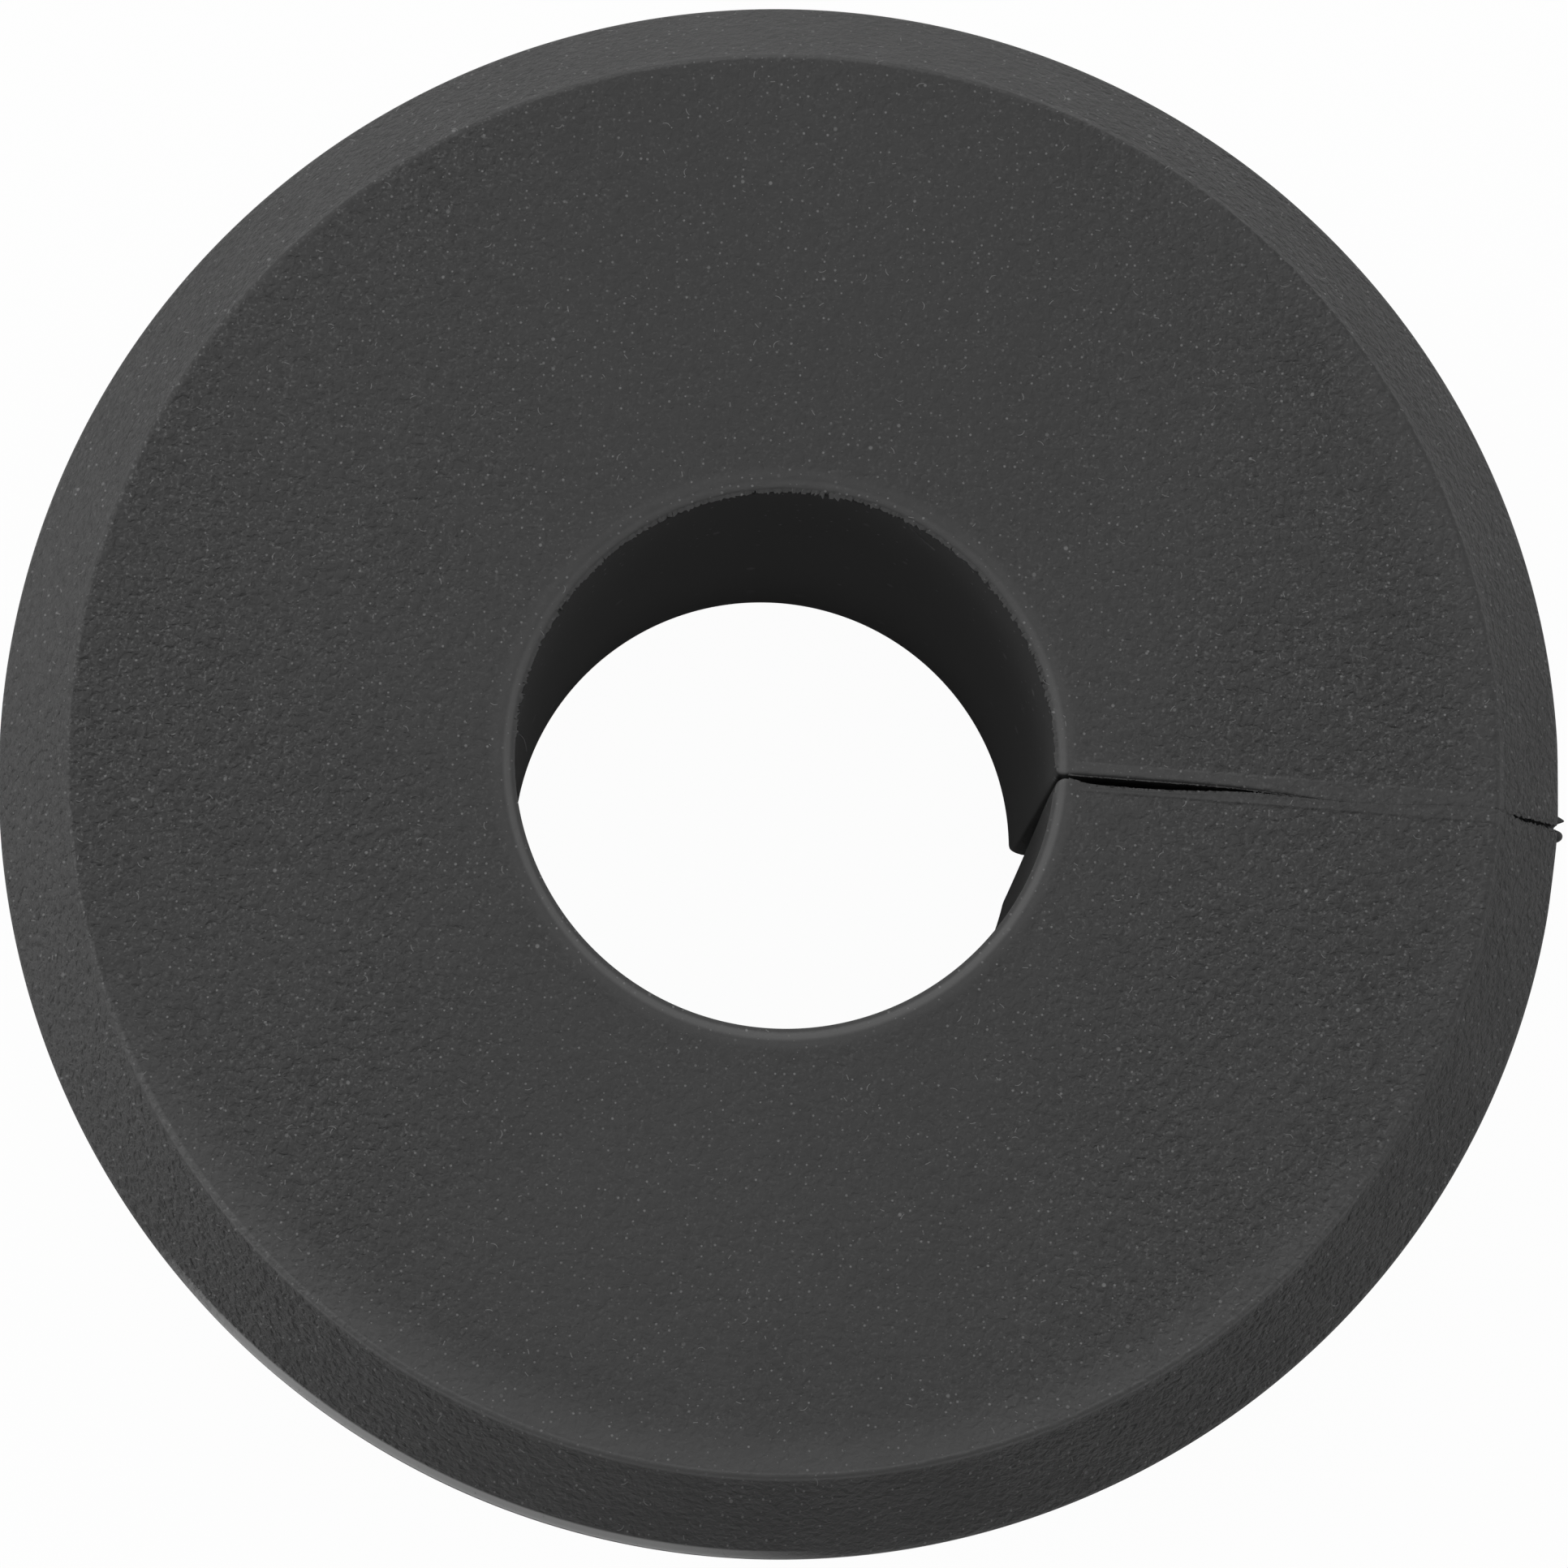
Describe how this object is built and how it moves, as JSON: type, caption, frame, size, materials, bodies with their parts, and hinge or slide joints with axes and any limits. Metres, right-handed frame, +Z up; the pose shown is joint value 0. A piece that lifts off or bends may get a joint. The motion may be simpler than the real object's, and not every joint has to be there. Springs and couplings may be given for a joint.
{
  "type": "desk grommet",
  "caption": "Round split rubber desk grommet: bevelled flange, sleeve for the desk hole, cable bore, and a slit that flexes open so a cable goes in sideways.",
  "frame": {"origin": "on the bore axis at the flange's underside, which is the level of the desk's surface", "axes": "+Z up along the bore axis, out of the desk; +X along the slit, from the bore to the outer edge"},
  "size_m": [0.06, 0.06, 0.03],
  "materials": {
    "rubber": "matt, fine spark-eroded grain"
  },
  "bodies": {
    "web": {"back_web": "rubber"},
    "left": {"left_jaw": "rubber"},
    "right": {"right_jaw": "rubber"}
  },
  "joints": [
    {"name": "left_jaw_flex", "type": "hinge", "parent": "web", "child": "left", "pos_m": [-0.02121, 0.02121, 0], "axis": [0, 0, 1], "range_deg": [0, 7], "stiffness_Nm_per_rad": 1.5},
    {"name": "right_jaw_flex", "type": "hinge", "parent": "web", "child": "right", "pos_m": [-0.02121, -0.02121, 0], "axis": [0, 0, -1], "range_deg": [0, 7], "stiffness_Nm_per_rad": 1.5}
  ],
  "couplings": [
    {"joint": "right_jaw_flex", "follows": "left_jaw_flex", "ratio": 1}
  ]
}
